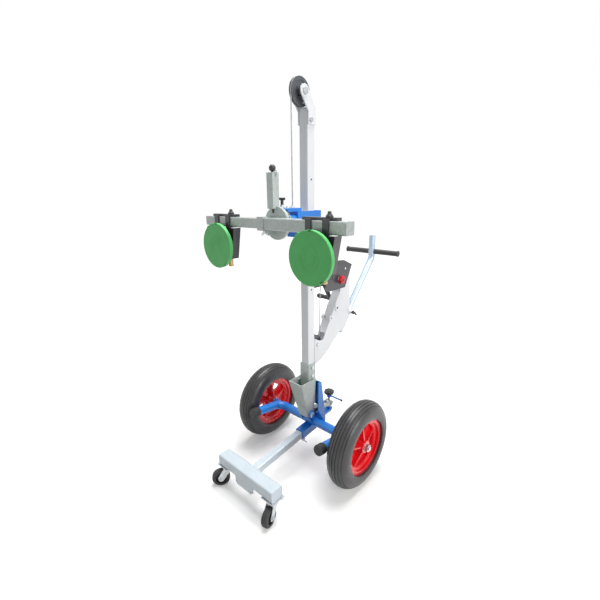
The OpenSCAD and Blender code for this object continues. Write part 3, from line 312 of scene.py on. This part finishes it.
def stage_paint(name, colour):
    """Floor paint that fades into the white background, away from the object's shadow."""
    s = Shade(name)
    seen = background_rays(s.tree)
    body = s.blend(s.spread(s.noise(2.5), 0.0, 0.5), linear(colour), linear("f4f4f2"))
    body = s.blend(seen, linear(FLOOR_BOUNCE), body)
    away = s.math("ShaderNodeVectorMath", "LENGTH", "Value", s.place)
    glow = s.spread(away, FLOOR_GLOW_NEAR, FLOOR_GLOW_FAR, *FLOOR_FADE)
    return s.finish(
        Base_Color=body, Roughness=0.9, Emission_Color=(1, 1, 1, 1),
        Emission_Strength=s.math("ShaderNodeMath", "MULTIPLY", "Value", seen, glow),
    )


BLUE = powder_coat("blue coat", "1c86e4", "1578d8", "9fb8d4")
WHITE = powder_coat("white coat", "eceef2", "e3e6ec", "b9bcc0", gloss=0.36)
RED = powder_coat("red coat", "f72531", "ea1c28", "ee8f86", gloss=0.26)
BLACK_STEEL = powder_coat("black coat", "3a3a3e", "303034", "7c7c80", gloss=0.42)
GALVANISED = zinc_coat("galvanised sheet", "b4bfbb", "9fa9a5", metal=0.2)
TUBE_ZINC = zinc_coat("galvanised tube", "aeb6b3", "99a29f", rough=0.36, metal=0.3)
BEAM_ZINC = zinc_coat("galvanised beam", "d2dee7", "c2cfd9", rough=0.38, metal=0.12)
HANDLE_ZINC = turned_metal("handle tube", "c3d4e3", "aabfd2", rough=0.3, metal=0.5, rounding=0.0)
BRIGHT = turned_metal("bright plate", "cfd2d4", "a9acb0")
IRON = turned_metal("machined iron", "66696d", "4c4f53", rough=0.4, metal=0.75)
BRASS = turned_metal("brass", "ccb080", "a8895a", rough=0.34, metal=0.7)
ROPE_STEEL = turned_metal("rope wire", "b2b4b6", "8d8f92", rough=0.38, metal=0.8, rounding=0.0)
BLACK_PLASTIC = moulded("black plastic", "363638", "2d2d2f")
PUMP_PLASTIC = moulded("pump plastic", "343436", "2a2a2c", rough=0.45)
RED_PLASTIC = moulded("red plastic", "e0242a", "c81a20", rough=0.34)
GREEN_PLASTIC = moulded("green plastic", "5ac46c", "50b762", rough=0.45, grain=900)
NYLON = moulded("nylon", "e8e6dd", "d9d6ca")
TYRE = rubber("tyre rubber", "343436", "5e5c5a", rough=0.36, dusty=0.18)
SOFT_RUBBER = rubber("soft rubber", "29292b", "4b4a49", rough=0.6)

NODE_MATERIALS = {
    BLUE: ("base_frame", "carriage_body", "spindle_lever"),
    WHITE: ("mast_tube", "head_bracket", "winch_bracket"),
    RED: ("rim_r", "rim_l"),
    BLACK_STEEL: ("holder_r", "holder_l", "winch_frame", "winch_crank"),
    GALVANISED: ("foot_bracket", "rotator_disc", "lever_tube"),
    TUBE_ZINC: ("bar_outer", "bar_inner"),
    BEAM_ZINC: ("front_foot",),
    HANDLE_ZINC: ("handle_tube",),
    BRIGHT: (
        "axle_shaft", "base_fasteners", "bearings_r", "bearings_l", "tilt_nut", "tilt_spindle",
        "caster_plates", "caster_fork_r", "caster_fork_l", "mast_fasteners", "carriage_fittings",
        "wing_screw",
    ),
    IRON: ("head_pulley", "guide_pulley", "winch_drum", "winch_pawl"),
    BRASS: ("pump_plunger_r", "pump_plunger_l"),
    ROPE_STEEL: ("rope", "rope_front"),
    BLACK_PLASTIC: (
        "tilt_handwheel", "crank_grip", "handle_grips", "handle_clamp", "index_plunger", "latch",
        "clamp_knob_r", "clamp_knob_l",
    ),
    PUMP_PLASTIC: ("pump_body_r", "pump_body_l"),
    RED_PLASTIC: ("winch_knob",),
    GREEN_PLASTIC: ("cup_cover_r", "cup_cover_l"),
    NYLON: ("slide_pads",),
    TYRE: ("tyre_r", "tyre_l"),
    SOFT_RUBBER: ("arm_caps", "cup_pad_r", "cup_pad_l", "caster_wheel_r", "caster_wheel_l"),
}


def dress_nodes():
    for material, names in NODE_MATERIALS.items():
        for name in names:
            node = frame["nodes"][name]
            if not node.material_slots:
                node.data.materials.append(material)
            for slot in node.material_slots:
                slot.material = material


# Pieces that CAD leaves plain

def swept(tubes, loop=False):
    """Skin over tubes, each a list of rings of points. A tube ends in caps, or as a loop in itself."""
    bm = bmesh.new()
    for tube in tubes:
        rings = [[bm.verts.new(point) for point in ring] for ring in tube]
        for here, there in zip(rings, rings[1:] + rings[:1] if loop else rings[1:]):
            for side in range(len(here)):
                after = (side + 1) % len(here)
                bm.faces.new((here[side], here[after], there[after], there[side]))
        if not loop:
            bm.faces.new(rings[0])
            bm.faces.new(reversed(rings[-1]))
    bmesh.ops.recalc_face_normals(bm, faces=bm.faces)
    return bm


def smoothed(bm):
    for face in bm.faces:
        face.smooth = True
    return bm


def new_piece(name, bm, material, body=None):
    mesh = bpy.data.meshes.new(name)
    bm.to_mesh(mesh)
    bm.free()
    piece = bpy.data.objects.new(name, mesh)
    bpy.context.scene.collection.objects.link(piece)
    piece.data.materials.append(material)
    if body:
        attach(piece, body)
    return piece


def in_yz(angle):
    """Direction in the Y-Z plane, from +Y towards +Z."""
    return Vector((0, math.cos(angle), math.sin(angle)))


def from_right(out, angle):
    """Direction at an angle from +X towards another direction."""
    return RIGHT * math.cos(angle) + out * math.sin(angle)


def arc(centre, radius, start, end, steps):
    """Points of an arc in the Y-Z plane, angles in degrees from +Y towards +Z."""
    angles = [math.radians(start + (end - start) * k / steps) for k in range(steps + 1)]
    return [centre + radius * in_yz(angle) for angle in angles]


def along(points):
    """Length of the path up to each of its points."""
    return list(accumulate(((b - a).length for a, b in zip(points, points[1:])), initial=0.0))


def even_path(points, step):
    """The same path with points an even step apart."""
    lengths = along(points)
    count = max(2, round(lengths[-1] / step))
    where = np.linspace(0, lengths[-1], count + 1)
    table = np.array(points)
    return [Vector(p) for p in zip(*(np.interp(where, lengths, table[:, k]) for k in range(3)))]


def stranded(name, points):
    """Wire rope along a path in a plane of constant X: strands laid round its middle."""
    path = even_path(points, STRAND_STEP)
    runs = along(path)
    thin = ROPE_RADIUS * STRAND_SHARE
    reach = ROPE_RADIUS - thin
    turns = [2 * math.pi * side / STRAND_SIDES for side in range(STRAND_SIDES)]
    tubes = [[] for _ in range(STRANDS)]
    for k, (here, run) in enumerate(zip(path, runs)):
        ahead = path[min(k + 1, len(path) - 1)] - path[max(k - 1, 0)]
        out = ahead.normalized().cross(RIGHT)
        for strand, tube in enumerate(tubes):
            lay = 2 * math.pi * (strand / STRANDS + run / STRAND_LAY)
            middle = here + reach * from_right(out, lay)
            tube.append([middle + thin * STRAND_SWELL * from_right(out, turn) for turn in turns])
    return new_piece(name, smoothed(swept(tubes)), ROPE_STEEL)


def pulley_pitch(node):
    low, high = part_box(node)
    return (high[2] - low[2]) / 2 - PULLEY_RIM


def rope_line():
    """Centres of the drum and the guide pulley, and the angle of the rope between them."""
    drum = Vector(JOINTS["drum_turn"]["pos_m"])
    guide = Vector(JOINTS["guide_pulley_turn"]["pos_m"])
    drum.x = guide.x = MAST.x
    run = guide - drum
    both = DRUM_ROPE_RADIUS + pulley_pitch("guide_pulley")
    return drum, guide, math.atan2(run.z, run.y) + math.asin(both / run.length)


def add_ropes():
    """The winding rope from the drum over both pulleys, and its front run to the carriage."""
    drum, guide, lie = rope_line()
    head = Vector(JOINTS["head_pulley_turn"]["pos_m"])
    head.x = MAST.x
    touch = math.degrees(lie) - 90
    points = arc(drum, DRUM_ROPE_RADIUS, touch - WRAP, touch, DRUM_STEPS)
    points += arc(guide, pulley_pitch("guide_pulley"), touch + 180, -180, GUIDE_STEPS)
    points += arc(head, pulley_pitch("head_pulley"), 0, 180, HEAD_STEPS)
    back = stranded("rope_strands", points)
    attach(back, "mast")
    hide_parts("rope")
    low, high = (Vector(corner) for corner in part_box("rope_front"))
    middle = (low + high) / 2
    top, foot = Vector((middle.x, middle.y, high.z)), Vector((middle.x, middle.y, low.z))
    front = stranded("rope_front_strands", [top, foot])
    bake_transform(front)
    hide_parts("rope_front")


def add_winding():
    """Turns of rope on the drum, in the lanes next to the live run's."""
    drum, _, lie = rope_line()
    start = lie - math.pi / 2 - math.radians(WRAP)
    turns = [2 * math.pi * side / WINDING_SIDES for side in range(WINDING_SIDES)]
    tube = []
    for k in range(TURNS * WINDING_STEPS + 1):
        out = in_yz(start - 2 * math.pi * k / WINDING_STEPS)
        centre = drum + out * DRUM_ROPE_RADIUS - RIGHT * (FIRST_STEP + TURN_STEP * k / WINDING_STEPS)
        tube.append([centre + ROPE_RADIUS * (out * math.cos(b) + RIGHT * math.sin(b)) for b in turns])
    bm = swept([tube])
    for face in bm.faces:
        face.smooth = len(face.verts) == 4
    new_piece("drum_winding", bm, ROPE_STEEL, "drum")


def add_thread():
    """Helical ridge on the tilt screw, clear of its collars."""
    low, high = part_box("tilt_spindle")
    nut_low, nut_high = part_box("tilt_nut")
    centre = Vector(((low[0] + high[0]) / 2, (low[1] + high[1]) / 2, nut_low[2] - THREAD_PAST_NUT))
    length = nut_high[2] - nut_low[2] + 2 * THREAD_PAST_NUT
    count = int(length / THREAD_PITCH * THREAD_STEPS)
    flank = Vector((0, 0, THREAD_PITCH * THREAD_FLANK))
    tube = []
    for k in range(count + 1):
        a = 2 * math.pi * k / THREAD_STEPS
        out = Vector((math.cos(a), math.sin(a), 0))
        taper = min(1.0, k / THREAD_STEPS, (count - k) / THREAD_STEPS)
        root = centre + Vector((0, 0, THREAD_PITCH * k / THREAD_STEPS)) + out * THREAD_ROOT
        tube.append([root - flank, root + out * (THREAD_RISE + THREAD_DEPTH * taper), root + flank])
    new_piece("spindle_thread", swept([tube]), BRIGHT, "spindle")


def domes(name, places, axis, radius, material, body, rise=0.5):
    """Small domed heads, all facing along an axis; rise is their height over their radius."""
    turn = axis.to_track_quat("Z", "Y").to_matrix().to_4x4()
    bm = bmesh.new()
    for place in places:
        made = bmesh.ops.create_uvsphere(bm, u_segments=DOME_SEGMENTS, v_segments=DOME_RINGS, radius=radius)
        squash = Matrix.Translation(place) @ turn @ Matrix.Diagonal((1, 1, rise, 1))
        bmesh.ops.transform(bm, matrix=squash, verts=made["verts"])
    new_piece(name, smoothed(bm), material, body)


def add_rim_rivets():
    for side, sign in (("r", 1), ("l", -1)):
        centre = Vector(JOINTS[f"wheel_{side}_spin"]["pos_m"])
        low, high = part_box(f"rim_{side}")
        for outward, face in ((1, high[0]), (-1, low[0])):
            centre.x = face - outward * RIVET_SUNK
            places = [centre + RIVET_RING * in_yz(2 * math.pi * k / RIVETS) for k in range(RIVETS)]
            name = f"rim_{side}_rivets_{'out' if outward == sign else 'in'}"
            domes(name, places, outward * RIGHT, RIVET_RADIUS, RED, f"wheel_{side}")


def add_mast_screws():
    """Two small dark screws in the mast's right face."""
    places = [Vector((MAST_FACE, MAST.y, z)) for z in MAST_SCREWS]
    domes("mast_screws", places, RIGHT, SCREW_RADIUS, BLACK_STEEL, "mast", SCREW_RISE)


def add_winch_trim():
    """Plated bolt heads on the winch's right plate, and the bright bush behind the red knob."""
    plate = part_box("winch_frame")[1][0]
    for name, radius, y, z in WINCH_BOLTS:
        domes(name, [Vector((plate, MAST.y + y, z))], RIGHT, radius, BRIGHT, "mast")
    centre = Vector(JOINTS["crank_turn"]["pos_m"])
    centre.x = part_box("winch_knob")[0][0]
    profile = ((0, BUSH_INNER), (0, BUSH_OUTER), (BUSH_LENGTH, BUSH_OUTER), (BUSH_LENGTH, BUSH_INNER))
    tube = []
    for k in range(BUSH_SIDES):
        out = in_yz(2 * math.pi * k / BUSH_SIDES)
        tube.append([centre + x * RIGHT + r * out for x, r in profile])
    new_piece("winch_knob_bush", swept([tube], loop=True), BEAM_ZINC, "crank")


# Floor and light

def add_floor():
    bm = bmesh.new()
    bmesh.ops.create_grid(bm, x_segments=1, y_segments=1, size=FLOOR_SIZE)
    new_piece("floor", bm, stage_paint("floor paint", "f6f6f5"))


def add_lamp(name, place, target, size, power, colour):
    data = bpy.data.lights.new(name, "AREA")
    data.shape = "SQUARE"
    data.size = size
    data.energy = power
    data.color = colour
    light = bpy.data.objects.new(name, data)
    light.location = place
    light.rotation_euler = (Vector(target) - Vector(place)).to_track_quat("-Z", "Y").to_euler()
    bpy.context.scene.collection.objects.link(light)


def add_world():
    """White where the background shows, and dimmer as a light on the object."""
    world = bpy.data.worlds.new("studio")
    bpy.context.scene.world = world
    world.use_nodes = True
    tree = world.node_tree
    level = tree.nodes.new("ShaderNodeMapRange")
    level.inputs["To Min"].default_value = WORLD_LIGHT
    level.inputs["To Max"].default_value = 1.0
    tree.links.new(background_rays(tree), level.inputs["Value"])
    tree.nodes["Background"].inputs["Color"].default_value = (1, 1, 1, 1)
    tree.links.new(level.outputs["Result"], tree.nodes["Background"].inputs["Strength"])


add_camera()
add_ropes()
add_winding()
add_thread()
add_rim_rivets()
add_mast_screws()
add_winch_trim()
dress_nodes()
add_floor()
add_world()
for lamp in LAMPS:
    add_lamp(*lamp)
bpy.context.scene.view_settings.view_transform = "Standard"
